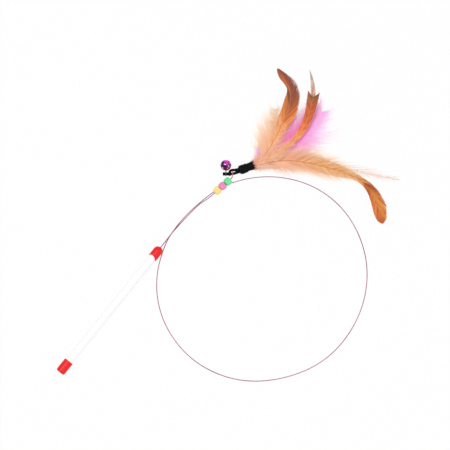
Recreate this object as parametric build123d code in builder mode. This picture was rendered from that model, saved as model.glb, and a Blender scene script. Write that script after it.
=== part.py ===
from build123d import *
import math
import os

# Cat teaser wand: a capped plastic handle, a springy wire that lies in one big loop, and on the
# wire's end three beads, a jingle bell and a bunch of feathers bound to a cord.
# Millimetres. X runs along the handle from its butt, Z is up, and the wand lies on its caps.

# Handle tube
handle_length = 159.7
tube_radius = 4.0
tube_wall = 0.8
slip_gap = 0.05

# Rear cap
rear_cap_length = 14.0
rear_cap_wall = 0.75
rear_cap_end_wall = 1.2
rear_cap_round = 1.8

# Front cap, bullet nosed, with a hollow cut mouth
front_cap_length = 14.2
front_cap_wall = 0.75
mouth_cut_radius = 7.1
mouth_cut_side_offset = 1.0
mouth_cut_depth = 2.3

# Wire and its anchorage in the tube
wire_diameter = 0.9
plug_length = 12.0
anchor_leg = 2.4
anchor_bend = 1.0
wire_hole_gap = 0.05

# Free wire, from the front cap's nose, over the loop and back to the beads
wire_route = [
    (0, 0, 0),
    (13.3, 0, 0),
    (33, 1.5, -2.6),
    (58, -1, -4.3),
    (91, -9.2, -4.3),
    (126, -38.5, -4.3),
    (145.8, -80, -4.3),
    (144.8, -125, -4.3),
    (121.9, -167, -4.3),
    (84.9, -193.3, -4.3),
    (41, -202.3, -4.3),
    (0.8, -195, -4.3),
    (-37.2, -169.4, -4.3),
    (-61.6, -135.4, -4.3),
    (-70.2, -91.6, -4.3),
    (-58.1, -47.6, -4.3),
    (-29.5, -15.3, -4.3),
    (9.5, 1.2, -4.3),
    (31, 0.3, -4.2),
    (46, -1.1, -3.0),
    (59, -2.9, -0.5),
    (67.3, -6.24, 0.4),
    (74.3, -7.5, 0.4),
]
bend_share = 0.45

# Formed end of the wire: two strands side by side through the beads, and an eye
strand_offset = 0.55
bead_run = 25.5
eye_heading = 32.0
eye_radius = 2.7
eye_neck = 3.2
eye_sides = 8
return_strand = 20.0

# Beads
bead_radius = 4.0
bead_length = 6.7
bead_bore_radius = 1.5
bead_crown_share = 0.8
bead_lip_share = 0.15
bead_gap = 0.3
bead_start = 2.3

# Tie cord: a loop through the eye, with a knot and a free tail
cord_diameter = 2.0
cord_seat = 2.0
cord_heading = -51.5
knot_radius = 1.6
knot_reach = 2.8
loop_height = 3.85
loop_lean_offset = 0.2
tail_length = 6.1

# Binding barrel
tie_reach = 8.2
tie_heading = -25.0
binding_heading = -30.8
binding_length = 14.3
binding_radius = 4.4
binding_butt_radius = 3.5
binding_round = 2.0
lap_count = 4
lap_thickness = 0.16
cord_pitch = 2.7
cord_socket_depth = 4.2
cord_lead = 2.5

# Bell
shank_reach = 6.6
bell_reach = 8.8
bell_radius = 5.45
bell_wall = 0.45
seam_lip = 0.25
seam_thickness = 0.35
slot_width = 0.9
slot_reach = 4.1
slot_end_radius = 0.95
shank_radius = 1.95
shank_wire_diameter = 0.9
shank_foot = 3.9
pellet_radius = 1.7
pellet_gap = 0.1

# Feathers: quills seated in the binding, then a fan of vanes and down
quill_diameter = 0.9
shaft_tip_diameter = 0.4
quill_gap = 0.25
quill_seat_depth = 6.0
quill_stub_length = 2.5
droop_share = 0.06

# Hackles: length, full width, lift, the quill's place as shares of the binding's radius (sideways,
# up), headings along the shaft from the binding's axis, and the widths at the same stations as
# shares of the full width
left_hackle_length = 108.0
left_hackle_width = 16.0
left_hackle_lift_angle = 4.0
left_hackle_place_shares = (0.42, 0.42)
left_hackle_angles = [26, 38, 41, 41, 45, 50, 48, 73, 97, 96, 94]
left_hackle_width_shares = [0.06, 0.11, 0.28, 0.56, 0.78, 0.97, 1.0, 0.88, 0.86, 0.62, 0.08]

middle_hackle_length = 94.0
middle_hackle_width = 12.5
middle_hackle_lift_angle = 5.0
middle_hackle_place_shares = (0.05, 0.58)
middle_hackle_angles = [5, 9, 11, 20, 30, 41, 50, 55, 63]
middle_hackle_width_shares = [0.08, 0.08, 0.16, 0.48, 0.69, 0.73, 0.76, 0.85, 1.0]

pale_spike_length = 123.0
pale_spike_width = 6.0
pale_spike_lift_angle = 4.0
pale_spike_place_shares = (0.18, -0.08)
pale_spike_angles = [4, 9, 17, 31, 41, 50, 53, 66, 80, 85]
pale_spike_width_shares = [0.16, 0.19, 0.34, 0.61, 0.78, 0.91, 1.0, 0.88, 0.64, 0.17]

right_hackle_length = 159.0
right_hackle_width = 17.0
right_hackle_lift_angle = 3.0
right_hackle_place_shares = (-0.42, 0.42)
right_hackle_angles = [-11, -14, -24, -30, -35, -37, -37, -40, -46, -68, -84, -88, -98, -96]
right_hackle_width_shares = [
    0.06, 0.15, 0.33, 0.61, 0.87, 1.0, 0.93,
    0.72, 0.45, 0.38, 0.69, 0.77, 0.64, 0.12,
]

pale_wisp_length = 147.0
pale_wisp_width = 6.0
pale_wisp_lift_angle = 2.2
pale_wisp_place_shares = (-0.62, 0.02)
pale_wisp_angles = [-9, -16, -27, -33, -37, -35, -33, -33, -33]
pale_wisp_width_shares = [0.19, 0.38, 0.6, 0.77, 0.91, 1.0, 0.86, 0.57, 0.17]

# Plumes of down: the same values, and a thickness
pink_plume_length = 93.0
pink_plume_width = 40.0
pink_plume_thickness = 4.0
pink_plume_lift_angle = 2.6
pink_plume_place_shares = (0.05, -0.58)
pink_plume_angles = [9, 15, 16, 17, 20, 23, 27, 30, 32]
pink_plume_width_shares = [0.03, 0.07, 0.18, 0.42, 0.72, 0.95, 1.0, 0.86, 0.4]

peach_plume_left_length = 59.0
peach_plume_left_width = 22.0
peach_plume_left_thickness = 3.0
peach_plume_left_lift_angle = 2.0
peach_plume_left_place_shares = (0.4, -0.52)
peach_plume_left_angles = [36, 52, 51, 50, 53, 57, 61, 63]
peach_plume_left_width_shares = [0.1, 0.4, 0.74, 0.91, 1.0, 0.97, 0.78, 0.32]

peach_plume_low_length = 66.0
peach_plume_low_width = 23.5
peach_plume_low_thickness = 3.0
peach_plume_low_lift_angle = 0.0
peach_plume_low_place_shares = (-0.45, -0.48)
peach_plume_low_angles = [-6, -13, -16, -18, -19, -20, -22, -24]
peach_plume_low_width_shares = [0.12, 0.4, 0.72, 0.92, 1.0, 0.95, 0.68, 0.25]

lavender_tuft_length = 16.0
lavender_tuft_width = 6.5
lavender_tuft_thickness = 1.8
lavender_tuft_lift_angle = 2.0
lavender_tuft_place_shares = (0.64, 0.0)
lavender_tuft_angles = [28, 52, 66, 70, 74, 77, 78]
lavender_tuft_width_shares = [0.14, 0.2, 0.5, 0.87, 1.0, 0.81, 0.4]

# One overrun for every cut
overrun = 1.0

# All the feathers
hackles = [
    ("left_hackle", left_hackle_length, left_hackle_width,
     left_hackle_lift_angle, left_hackle_place_shares, left_hackle_angles, left_hackle_width_shares),
    ("middle_hackle", middle_hackle_length, middle_hackle_width,
     middle_hackle_lift_angle, middle_hackle_place_shares, middle_hackle_angles, middle_hackle_width_shares),
    ("pale_spike", pale_spike_length, pale_spike_width,
     pale_spike_lift_angle, pale_spike_place_shares, pale_spike_angles, pale_spike_width_shares),
    ("right_hackle", right_hackle_length, right_hackle_width,
     right_hackle_lift_angle, right_hackle_place_shares, right_hackle_angles, right_hackle_width_shares),
    ("pale_wisp", pale_wisp_length, pale_wisp_width,
     pale_wisp_lift_angle, pale_wisp_place_shares, pale_wisp_angles, pale_wisp_width_shares),
]
plumes = [
    ("pink_plume", pink_plume_length, pink_plume_width, pink_plume_thickness,
     pink_plume_lift_angle, pink_plume_place_shares,
     pink_plume_angles, pink_plume_width_shares),
    ("peach_plume_left", peach_plume_left_length, peach_plume_left_width, peach_plume_left_thickness,
     peach_plume_left_lift_angle, peach_plume_left_place_shares,
     peach_plume_left_angles, peach_plume_left_width_shares),
    ("peach_plume_low", peach_plume_low_length, peach_plume_low_width, peach_plume_low_thickness,
     peach_plume_low_lift_angle, peach_plume_low_place_shares,
     peach_plume_low_angles, peach_plume_low_width_shares),
    ("lavender_tuft", lavender_tuft_length, lavender_tuft_width, lavender_tuft_thickness,
     lavender_tuft_lift_angle, lavender_tuft_place_shares,
     lavender_tuft_angles, lavender_tuft_width_shares),
]

os.makedirs("parts", exist_ok=True)


def keep(block, name):
    """Label a finished piece and write it."""
    block.part.label = name
    export_step(block.part, f"parts/{name}.step")


def heading_vector(degrees, lift=0.0):
    """Unit vector at a heading in plan and a lift above it."""
    turn, rise = math.radians(degrees), math.radians(lift)
    return Vector(math.cos(turn) * math.cos(rise), math.sin(turn) * math.cos(rise), math.sin(rise))


def bend_radii(points):
    """The largest tangent arc that each corner's two runs leave room for."""
    radii = []
    for before, corner, after in zip(points, points[1:], points[2:]):
        arriving, leaving = corner - before, after - corner
        half_turn = math.radians(arriving.get_angle(leaving)) / 2
        radii.append(bend_share * min(arriving.length, leaving.length) / math.tan(half_turn))
    return radii


def swept_tube(points, diameter, name):
    """A round wire or cord along straight runs joined by tangent arcs."""
    radii = bend_radii(points)
    with BuildPart() as tube:
        with BuildLine() as path:
            FilletPolyline(*points, radius=radii)
        with BuildSketch(Plane(origin=path.line @ 0, z_dir=path.line % 0)):
            Circle(diameter / 2)
        sweep(path=path.line)
    section = math.pi * diameter * diameter / 4
    run = sum(edge.length for edge in path.edges())
    share = tube.part.volume / (section * run)
    print(f"{name}: length {run:.1f}, volume over section x length {share:.4f}")
    print("  radii", " ".join(f"{radius:.1f}" for radius in radii))
    return tube


# Derived sizes and places
rear_cap_radius = tube_radius + slip_gap + rear_cap_wall
front_cap_radius = tube_radius + slip_gap + front_cap_wall
front_cap_bore = tube_radius + slip_gap
dome_centre = handle_length - front_cap_radius
tube_start = rear_cap_end_wall + slip_gap
tube_end = dome_centre - slip_gap
plug_radius = tube_radius - tube_wall - slip_gap
plug_start = tube_end - plug_length
wire_radius = wire_diameter / 2
nose = Vector(handle_length, 0, 0)
wire_points = [nose + Vector(*point) for point in wire_route]
wire_finish = wire_points[-1]
last_run = wire_points[-1] - wire_points[-2]
bead_direction = Vector(last_run.X, last_run.Y, 0).normalized()
lure_height = wire_finish.Z + strand_offset
bead_line = Vector(wire_finish.X, wire_finish.Y, lure_height)
eye_direction = heading_vector(eye_heading)
eye_root = bead_line + bead_direction * bead_run
pivot = eye_root + eye_direction * (eye_neck + eye_radius - cord_seat)
cord_direction = heading_vector(cord_heading)
tail_direction = cord_direction * -1
binding_axis = heading_vector(binding_heading)
binding_side = heading_vector(binding_heading).rotate(Axis.Z, 90)
binding_start = pivot + heading_vector(tie_heading) * tie_reach
binding_end = binding_start + binding_axis * binding_length
bell_axis = tail_direction.rotate(Axis.Z, -90)
shank_point = pivot + tail_direction * shank_reach
bell_centre = shank_point + bell_axis * bell_reach

# Handle tube
with BuildPart() as handle_tube:
    with BuildSketch(Plane.YZ.offset(tube_start)):
        Circle(tube_radius)
        Circle(tube_radius - tube_wall, mode=Mode.SUBTRACT)
    extrude(amount=tube_end - tube_start)
keep(handle_tube, "handle_tube")

# Rear cap: a cup with a rounded butt
with BuildPart() as rear_cap:
    with BuildSketch(Plane.YZ):
        Circle(rear_cap_radius)
    extrude(amount=rear_cap_length)
    fillet(rear_cap.faces().sort_by(Axis.X)[0].edges(), radius=rear_cap_round)
    with BuildSketch(Plane.YZ.offset(rear_cap_end_wall)):
        Circle(tube_radius + slip_gap)
    extrude(amount=rear_cap_length, mode=Mode.SUBTRACT)
keep(rear_cap, "rear_cap")

# Front cap: a bullet with a hole for the wire and a hollow cut mouth
front_cap_mouth = handle_length - front_cap_length
with BuildPart() as front_cap:
    with BuildSketch(Plane.XY) as bullet_half:
        with BuildLine():
            slope = math.sqrt(0.5)
            outer_mid = (dome_centre + front_cap_radius * slope, front_cap_radius * slope)
            inner_mid = (dome_centre + front_cap_bore * slope, front_cap_bore * slope)
            Line((front_cap_mouth, front_cap_bore), (front_cap_mouth, front_cap_radius))
            Line((front_cap_mouth, front_cap_radius), (dome_centre, front_cap_radius))
            ThreePointArc((dome_centre, front_cap_radius), outer_mid, (handle_length, 0))
            Line((handle_length, 0), (dome_centre + front_cap_bore, 0))
            ThreePointArc((dome_centre + front_cap_bore, 0), inner_mid, (dome_centre, front_cap_bore))
            Line((dome_centre, front_cap_bore), (front_cap_mouth, front_cap_bore))
        make_face()
    revolve(axis=Axis.X)
    with BuildSketch(Plane.YZ.offset(dome_centre)):
        Circle(wire_radius + wire_hole_gap)
    extrude(amount=front_cap_radius + overrun, mode=Mode.SUBTRACT)
    mouth_cut_centre = front_cap_mouth + mouth_cut_depth - mouth_cut_radius
    with BuildSketch(Plane.XY.offset(-front_cap_radius - overrun)):
        with Locations((mouth_cut_centre, mouth_cut_side_offset)):
            Circle(mouth_cut_radius)
    extrude(amount=2 * (front_cap_radius + overrun), mode=Mode.SUBTRACT)
keep(front_cap, "front_cap")

# Plug that grips the wire in the tube's front end
with BuildPart() as wire_plug:
    with BuildSketch(Plane.YZ.offset(plug_start)):
        Circle(plug_radius)
        Circle(wire_radius + wire_hole_gap, mode=Mode.SUBTRACT)
    extrude(amount=plug_length)
keep(wire_plug, "wire_plug")

# Anchored wire, bent over behind the plug
anchor_x = plug_start - anchor_bend
with BuildPart() as wire_root:
    with BuildLine() as anchor_path:
        FilletPolyline(nose, (anchor_x, 0, 0), (anchor_x, 0, anchor_leg), radius=anchor_bend)
    with BuildSketch(Plane(origin=nose, z_dir=(-1, 0, 0))):
        Circle(wire_radius)
    sweep(path=anchor_path.line)
keep(wire_root, "wire_root")

# Free wire
lead_wire = swept_tube(wire_points, wire_diameter, "lead_wire")
keep(lead_wire, "lead_wire")

# Formed end: out through the beads, round the eye in an upright plane, and back
strand_drop = Vector(0, 0, strand_offset)
eye_centre = eye_root + eye_direction * eye_neck
side_angle = 360 / eye_sides
corner_radius = eye_radius / math.cos(math.radians(side_angle / 2))
eye_angles = [side_angle * (step - eye_sides / 2 + 2) - side_angle / 2 for step in range(eye_sides - 2)]
eye_points = [
    eye_centre
    + eye_direction * (corner_radius * math.cos(math.radians(angle)))
    + Vector(0, 0, corner_radius * math.sin(math.radians(angle)))
    for angle in eye_angles
]
end_points = [wire_finish, eye_root - strand_drop]
end_points += eye_points
end_points += [eye_root + strand_drop, eye_root + strand_drop - bead_direction * return_strand]
wire_end = swept_tube(end_points, wire_diameter, "wire_end")
keep(wire_end, "wire_end")

# Beads on the doubled wire
bead_pitch = bead_length + bead_gap
bead_wall = bead_radius - bead_bore_radius
for place, bead_name in enumerate(("bead_yellow", "bead_pink", "bead_green")):
    bead_centre = bead_line + bead_direction * (bead_start + bead_length / 2 + bead_pitch * place)
    with BuildPart() as bead:
        with BuildSketch(Plane(origin=bead_centre, x_dir=(0, 0, 1), z_dir=bead_direction.rotate(Axis.Z, 90))):
            with Locations(((bead_radius + bead_bore_radius) / 2, 0)):
                wall = Rectangle(bead_wall, bead_length)
            fillet(wall.vertices().sort_by(Axis.Z)[-2:], radius=bead_crown_share * bead_wall)
            fillet(wall.vertices().sort_by(Axis.Z)[:2], radius=bead_lip_share * bead_wall)
        revolve(axis=Axis(bead_centre, bead_direction))
    keep(bead, bead_name)

# Tie cord: loop, knot and tail. The near strand runs straight from its socket to the line through
# the eye, and the far strand goes round the outside of the eye
entry_step = binding_side * (cord_pitch / 2)
far_entry = binding_start + entry_step
near_entry = binding_start - entry_step
cord_inside = binding_axis * (cord_socket_depth - slip_gap)
cord_side = cord_direction.rotate(Axis.Z, 90)
near_rise = (near_entry - pivot).dot(cord_side)
near_corner = near_entry - binding_axis * (near_rise / binding_axis.dot(cord_side))
knot_place = pivot + tail_direction * knot_reach
loop_corner = pivot + tail_direction * (knot_reach - loop_lean_offset) + cord_side * loop_height
far_corner = far_entry - binding_axis * cord_lead
cord_points = [near_entry + cord_inside, near_corner, knot_place]
cord_points += [loop_corner, far_corner, far_entry + cord_inside]
cord_loop = swept_tube(cord_points, cord_diameter, "tie_cord")
cord_radius = cord_diameter / 2
knot_neck = math.sqrt(knot_radius * knot_radius - cord_radius * cord_radius)
tip_mid = Vector(tail_length, 0) + Vector(cord_radius, cord_radius) * math.sqrt(0.5)
with BuildPart() as tie_cord:
    add(cord_loop.part)
    with BuildSketch(Plane(origin=knot_place, x_dir=tail_direction, z_dir=(0, 0, 1))):
        with BuildLine():
            ThreePointArc((-knot_radius, 0), (0, knot_radius), (knot_neck, cord_radius))
            Line((knot_neck, cord_radius), (tail_length, cord_radius))
            ThreePointArc((tail_length, cord_radius), tip_mid, (tail_length + cord_radius, 0))
            Line((tail_length + cord_radius, 0), (-knot_radius, 0))
        make_face()
    revolve(axis=Axis(knot_place, tail_direction))
keep(tie_cord, "tie_cord")

# Binding: tape wound in flaring laps, with sockets for the cord and for every quill
lap_length = binding_length / lap_count
binding_plane = Plane(origin=binding_start, x_dir=binding_axis, z_dir=(0, 0, 1))
lap_flare = (binding_radius - binding_butt_radius) / lap_count
lap_outline = [(0, 0)]
for lap in range(lap_count):
    lap_radius = binding_butt_radius + lap * lap_flare
    lap_outline.append((lap * lap_length, lap_radius - lap_thickness))
    lap_outline.append(((lap + 1) * lap_length, lap_radius + lap_flare))
lap_outline += [(binding_length, 0)]
with BuildPart() as feather_binding:
    with BuildSketch(binding_plane):
        with BuildLine():
            Polyline(*lap_outline, close=True)
        make_face()
    revolve(axis=Axis(binding_start, binding_axis))
    butt_edges = feather_binding.edges().filter_by(GeomType.CIRCLE)
    fillet(butt_edges.sort_by(Axis(binding_start, binding_axis))[0], radius=binding_round)
    with BuildSketch(Plane(origin=binding_start, x_dir=binding_side, z_dir=binding_axis)):
        with GridLocations(cord_pitch, 0, 2, 1):
            Circle(cord_diameter / 2 + slip_gap)
    extrude(amount=cord_socket_depth, mode=Mode.SUBTRACT)
    with BuildSketch(Plane(origin=binding_end, x_dir=binding_side, z_dir=binding_axis)):
        quill_places = [feather[-3] for feather in hackles + plumes]
        for side_share, up_share in quill_places:
            with Locations((side_share * binding_radius, up_share * binding_radius)):
                Circle(quill_diameter / 2 + quill_gap)
    extrude(amount=-quill_seat_depth - quill_gap, mode=Mode.SUBTRACT)
keep(feather_binding, "feather_binding")


def feather_stations(length, lift, quill_place, headings):
    """Places and headings of a feather's sections, from its seat in the binding to its tip."""
    side_share, up_share = quill_place
    mouth = binding_end + binding_side * (side_share * binding_radius)
    mouth += Vector(0, 0, up_share * binding_radius)
    seat_places = (-quill_seat_depth, -quill_seat_depth / 2, 0)
    stations = [(mouth + binding_axis * along, binding_heading, 0.0) for along in seat_places]
    place = mouth + binding_axis * quill_stub_length
    stations.append((place, binding_heading, 0.0))
    step = length / len(headings)
    last_heading = 0.0
    for heading in headings:
        place = place + heading_vector(binding_heading + (last_heading + heading) / 2, lift) * step
        stations.append((place, binding_heading + heading, lift))
        last_heading = heading
    return stations


# Hackles: a tapering shaft with a thin vane on either side, which droops and thins to its edge
for name, length, width, lift, quill_place, headings, width_shares in hackles:
    stations = feather_stations(length, lift, quill_place, headings)
    shares = [0.0] * (len(stations) - len(width_shares)) + width_shares
    with BuildPart() as hackle:
        for step, (place, heading, rise) in enumerate(stations):
            taper = step / (len(stations) - 1)
            shaft = quill_diameter + (shaft_tip_diameter - quill_diameter) * taper
            reach = max(shaft, shares[step] * width) / 2
            droop = droop_share * (2 * reach - shaft)
            corner = shaft / 2 * math.sqrt(0.5)
            side = heading_vector(heading - 90)
            with BuildSketch(Plane(origin=place, x_dir=side, z_dir=heading_vector(heading, rise))):
                with BuildLine():
                    top = [(-reach, -droop), (-corner, corner), (0, shaft / 2), (corner, corner)]
                    underside = [(reach, -droop), (corner, -corner), (0, -shaft / 2), (-corner, -corner)]
                    Polyline(*top, *underside, close=True)
                make_face()
        loft()
    keep(hackle, name)

# Plumes: the outline of the down, as a lens round its shaft
for name, length, width, thickness, lift, quill_place, headings, width_shares in plumes:
    stations = feather_stations(length, lift, quill_place, headings)
    shares = [0.0] * (len(stations) - len(width_shares)) + width_shares
    with BuildPart() as plume:
        for (place, heading, rise), share in zip(stations, shares):
            reach = max(quill_diameter, share * width) / 2
            depth = max(quill_diameter, share * thickness) / 2
            side = heading_vector(heading - 90)
            with BuildSketch(Plane(origin=place, x_dir=side, z_dir=heading_vector(heading, rise))):
                with BuildLine():
                    ThreePointArc((-reach, 0), (0, depth), (reach, 0))
                    ThreePointArc((reach, 0), (0, -depth), (-reach, 0))
                make_face()
        loft()
    keep(plume, name)

# Bell: two pressed half shells that meet at a lipped seam
seam_angle = math.asin(seam_thickness / bell_radius)
bell_bore = bell_radius - bell_wall
middle_angle = (seam_angle + math.pi / 2) / 2
for bell_name, side_of_seam in (("bell_upper", -1), ("bell_lower", 1)):
    pole = bell_axis * side_of_seam
    with BuildPart() as bell_half:
        with BuildSketch(Plane(origin=bell_centre, x_dir=(0, 0, 1), z_dir=Vector(0, 0, 1).cross(pole))):
            with BuildLine():
                shoulder = (bell_radius * math.cos(seam_angle), seam_thickness)
                crest = (bell_radius * math.cos(middle_angle), bell_radius * math.sin(middle_angle))
                hollow = (bell_bore * math.sqrt(0.5), bell_bore * math.sqrt(0.5))
                Polyline((bell_bore, 0), (bell_radius + seam_lip, 0),
                         (bell_radius + seam_lip, seam_thickness), shoulder)
                ThreePointArc(shoulder, crest, (0, bell_radius))
                Line((0, bell_radius), (0, bell_bore))
                ThreePointArc((0, bell_bore), hollow, (bell_bore, 0))
            make_face()
        revolve(axis=Axis(bell_centre, pole))
        with BuildSketch(Plane(origin=bell_centre, x_dir=(0, 0, 1), z_dir=pole)):
            if side_of_seam > 0:
                for slot_turn in (45, -45):
                    Rectangle(2 * slot_reach, slot_width, rotation=slot_turn)
                with PolarLocations(slot_reach, 4, start_angle=45):
                    Circle(slot_end_radius)
            else:
                with GridLocations(2 * shank_radius, 0, 2, 1):
                    Circle(shank_wire_diameter / 2 + wire_hole_gap)
        extrude(amount=bell_radius + overrun, mode=Mode.SUBTRACT)
    keep(bell_half, bell_name)

# Shank: a wire staple that holds the bell on the cord's tail
foot = bell_reach - shank_foot
with BuildPart() as bell_shank:
    with BuildLine(Plane(origin=shank_point, x_dir=bell_axis, z_dir=tail_direction)) as staple:
        Line((foot, shank_radius), (0, shank_radius))
        ThreePointArc((0, shank_radius), (-shank_radius, 0), (0, -shank_radius))
        Line((0, -shank_radius), (foot, -shank_radius))
    with BuildSketch(Plane(origin=staple.line @ 0, z_dir=staple.line % 0)):
        Circle(shank_wire_diameter / 2)
    sweep(path=staple.line)
keep(bell_shank, "bell_shank")

# Pellet, loose in the bottom of the bell
with BuildPart() as bell_pellet:
    with Locations(bell_centre - Vector(0, 0, bell_bore - pellet_radius - pellet_gap)):
        Sphere(pellet_radius)
keep(bell_pellet, "bell_pellet")

places = {"nose": nose, "wire_finish": wire_finish, "pivot": pivot, "binding_end": binding_end,
          "shank_point": shank_point, "bell_centre": bell_centre, "bead_direction": bead_direction,
          "tail_direction": tail_direction, "bell_axis": bell_axis, "eye_root": eye_root}
for place_name, place in places.items():
    print(f"{place_name}: {place.X:.4f} {place.Y:.4f} {place.Z:.4f}")
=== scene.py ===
import math
from typing import NamedTuple

import bpy
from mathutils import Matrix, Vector


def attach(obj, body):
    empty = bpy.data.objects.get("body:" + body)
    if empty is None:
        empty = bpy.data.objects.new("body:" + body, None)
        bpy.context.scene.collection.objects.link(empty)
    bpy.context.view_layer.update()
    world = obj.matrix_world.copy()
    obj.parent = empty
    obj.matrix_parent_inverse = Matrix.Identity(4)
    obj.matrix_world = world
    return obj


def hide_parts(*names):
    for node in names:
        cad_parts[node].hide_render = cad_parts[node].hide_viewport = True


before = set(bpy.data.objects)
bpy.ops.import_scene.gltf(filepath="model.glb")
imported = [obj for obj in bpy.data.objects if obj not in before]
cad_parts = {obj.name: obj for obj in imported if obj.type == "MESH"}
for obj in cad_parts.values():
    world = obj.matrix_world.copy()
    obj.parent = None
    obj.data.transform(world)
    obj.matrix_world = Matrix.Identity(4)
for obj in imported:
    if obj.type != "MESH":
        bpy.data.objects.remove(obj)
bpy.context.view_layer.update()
scene = bpy.context.scene

UPWARD = Vector((0, 0, 1))
WHITE = (1.0, 1.0, 1.0, 1.0)
DISPLAY_GAMMA = 2.2

# Places and sizes that the CAD model gives, in metres and degrees
FLOOR = -0.0048
NOSE = Vector((0.1597, 0, 0))
PIVOT = Vector((0.2624041, -0.0099507, 0.00095))
BINDING_END = Vector((0.2821189, -0.0207384, 0.00095))
BINDING_HEADING = -30.8
BINDING_LENGTH = 0.0143
BINDING_RADIUS = 0.0044
CORD_HEADING = -51.5
BELL_CENTRE = (0.2651824, 0.0006926, 0.00095)
BELL_RADIUS = 0.0055
QUILL_STUB = 0.0025
QUILL_SEAT = 0.003
WIRE_RADIUS = 0.00045

# Route of the springy wire from the handle's nose, over its loop and back to the beads
WIRE_ROUTE = [
    (0, 0, 0),
    (0.0133, 0, 0),
    (0.033, 0.0015, -0.0026),
    (0.058, -0.001, -0.0043),
    (0.091, -0.0092, -0.0043),
    (0.126, -0.0385, -0.0043),
    (0.1458, -0.08, -0.0043),
    (0.1448, -0.125, -0.0043),
    (0.1219, -0.167, -0.0043),
    (0.0849, -0.1933, -0.0043),
    (0.041, -0.2023, -0.0043),
    (0.0008, -0.195, -0.0043),
    (-0.0372, -0.1694, -0.0043),
    (-0.0616, -0.1354, -0.0043),
    (-0.0702, -0.0916, -0.0043),
    (-0.0581, -0.0476, -0.0043),
    (-0.0295, -0.0153, -0.0043),
    (0.0095, 0.0012, -0.0043),
    (0.031, 0.0003, -0.0042),
    (0.046, -0.0011, -0.003),
    (0.059, -0.0029, -0.0005),
    (0.0673, -0.00624, 0.0004),
    (0.0743, -0.0075, 0.0004),
]

# Painted glow on thin down and on the tube: an emission that stands for light from the pale surface below
# showing through them, as a share of full light
PAINTED_GLOW = 0.06

# Barbs: the shortest that grows, the reaches tried at each station of a shaft, the layer in which low ones
# rest, and a bound that none meets
SHORTEST_BARB = 0.0003
REACH_TRIES = 80
REST_LAYER = 0.0008
NO_BOUND = -9.0

# A downy barb's barbules, in shares of the barb's length and of the half width that they reach
BARBULES = 14
BARBULES_START = 0.03
BARBULES_SPAN = 0.92
BARBULE_ROOT = 0.018
BARBULE_SWEEP = 0.06
BARBULE_FOOT = 0.06
DOWNY_HALF_WIDTH = 0.09
DOWNY_ROWS = 7

# Shares of its width that a strip, and of its thickness that a feather's shaft, loses towards the tip
STRIP_TAPER = 0.6
SHAFT_TAPER = 0.75

# A feather's two sides, each with the first of its seeds
FLANK_SEEDS = ((1.0, 0), (-1.0, 40))

# Steps through the noise that streaks a feather, parts its barbs into clumps and makes them wavy
STREAK_FLANK_STEP = 2.3
STREAK_ACROSS_STEP = 0.7
CLUMP_FLANK_STEP = 3.7
CLUMP_SEED_STEP = 1.3
WAVE_ACROSS_STEP = 2.5
WAVE_STRAND_STEP = 40.0
WAVE_ALONG_STEP = 9.0
WAVE_SHARES = (1.0, 1.0, 0.18)

# Tie cord: the radius of each of its pieces and the plait that they all have, in metres and counts, and the
# threads of its finish along a metre and around
CORD_RADII = {"tie_loop": 0.0013, "tie_tail": 0.0016, "tie_knot": 0.0007, "tie_tuck": 0.0008}
PLAIT = {"Strands": 4.0, "Pitch": 0.0012, "Relief": 0.00007, "Step": 0.00015}
THREADS_ALONG = 900.0
THREADS_AROUND = 8.0

# Way of the cord, in metres, off the binding's butt, off the pivot in the wire's eye and off the knot
CORD_SEAT = 0.004
LOOP_HALF_GAP = 0.00135
LOOP_EASE = 0.0025
LOOP_CORNER_ALONG = 0.0026
LOOP_CORNER_ASIDE = 0.00385
KNOT_ALONG = 0.0028
TAIL_STATIONS = (-0.001, 0.002, 0.0048, 0.007)
TUCK_BEND = 0.0015
TUCK_END = Vector((0.0039, 0, 0))
KNOT_STEPS = 27
KNOT_START = -0.0009
KNOT_RISE = 0.00007
KNOT_RADIUS = 0.0014
TWELFTH_TURN = math.pi / 6

# Torn tape at the binding's mouth
RIM_SETBACK = 0.0012
RIM_DEPTH = 0.0002
RIM_STEPS = 13
SHORTEST_TEAR = 0.15
FRAY = {"Strips": 70, "Longest": 0.0042, "Width": 0.0005, "Flare": 0.5, "Seed": 41}

# Turns of tape round the binding's butt: distances along it with radii, and lumps with size, count and drift
WRAP_PROFILE = [
    (-0.0006, 0.0012), (-0.0009, 0.0022), (-0.0008, 0.0032), (-0.0002, 0.004),
    (0.0008, 0.0045), (0.0022, 0.00475), (0.0042, 0.0047), (0.0044, 0.0045),
    (0.0064, 0.0046), (0.0078, 0.0045), (0.008, 0.0042), (0.0079, 0.0034),
]
WRAP_SIDES = 40
WRAP_LUMPS = ((0.025, 3, 900), (0.015, 7, -1400))


class Value:
    """A node's output, which can stand in a sum."""

    def __init__(self, graph, socket):
        self.graph = graph
        self.socket = socket

    def __add__(self, other):
        return self.graph.maths("ADD", self, other)

    def __radd__(self, other):
        return self.graph.maths("ADD", other, self)

    def __sub__(self, other):
        return self.graph.maths("SUBTRACT", self, other)

    def __rsub__(self, other):
        return self.graph.maths("SUBTRACT", other, self)

    def __mul__(self, other):
        return self.graph.maths("MULTIPLY", self, other)

    def __rmul__(self, other):
        return self.graph.maths("MULTIPLY", other, self)

    def __truediv__(self, other):
        return self.graph.maths("DIVIDE", self, other)

    def __rtruediv__(self, other):
        return self.graph.maths("DIVIDE", other, self)


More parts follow.
